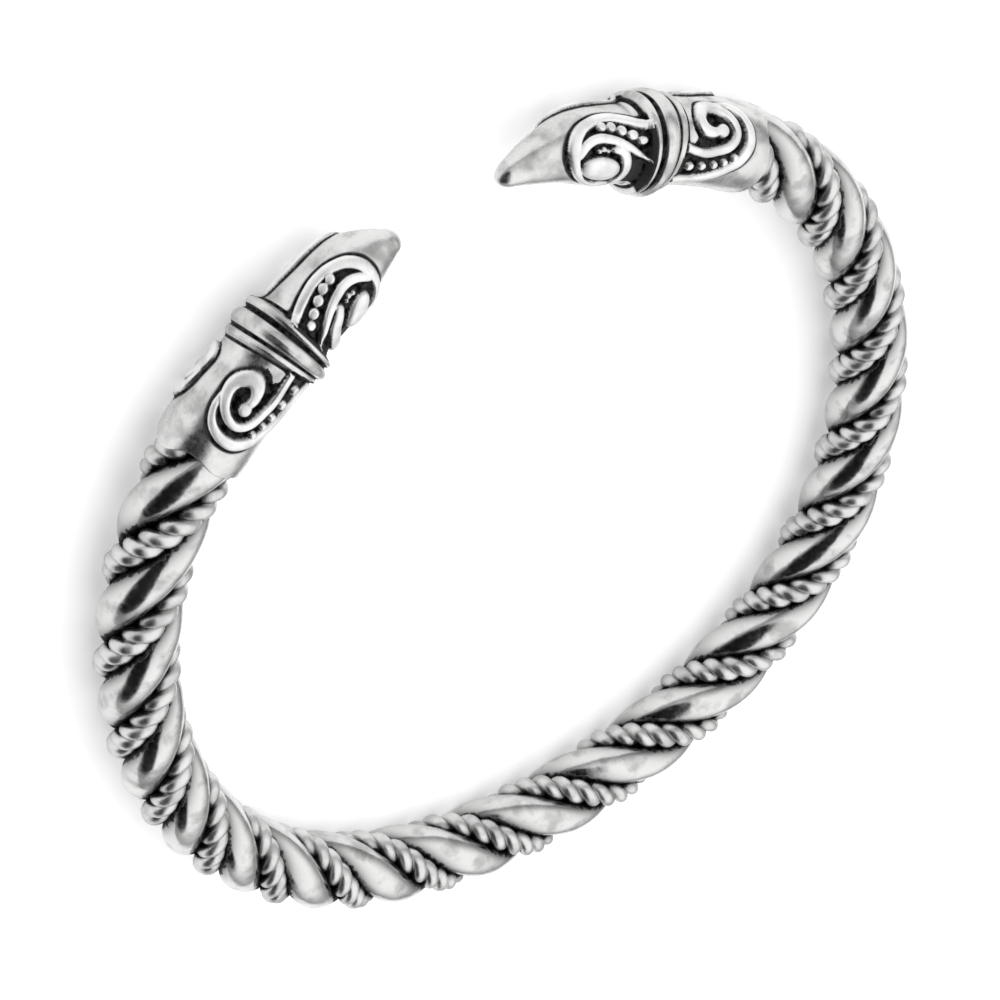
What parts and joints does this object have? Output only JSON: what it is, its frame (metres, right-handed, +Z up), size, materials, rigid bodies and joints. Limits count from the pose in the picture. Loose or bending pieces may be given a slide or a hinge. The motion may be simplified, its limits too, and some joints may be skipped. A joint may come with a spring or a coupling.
{
  "type": "viking arm ring",
  "caption": "Open C-shaped arm ring: a twisted rope of thick smooth strands and thin cords, ending in facing raven heads with scroll relief and ringed collars.",
  "frame": {"origin": "middle of the ring's bounding box, on the surface that it lies on", "axes": "+Z up through the wrist opening, +Y towards the gap between the beaks, +X towards the right head"},
  "size_m": [0.076, 0.0785, 0.0081],
  "materials": {
    "bright_strand": "polished antique silver plate, black in the grooves",
    "twisted_cord": "antique silver plate, black between the plies",
    "antique_head": "polished antique silver plate, black in the recesses"
  },
  "bodies": {
    "root": {"thick_strand_a": "bright_strand", "thick_strand_b": "bright_strand", "thin_cord_a": "twisted_cord", "thin_cord_b": "twisted_cord", "raven_head_left": "antique_head", "raven_head_right": "antique_head"}
  },
  "joints": []
}
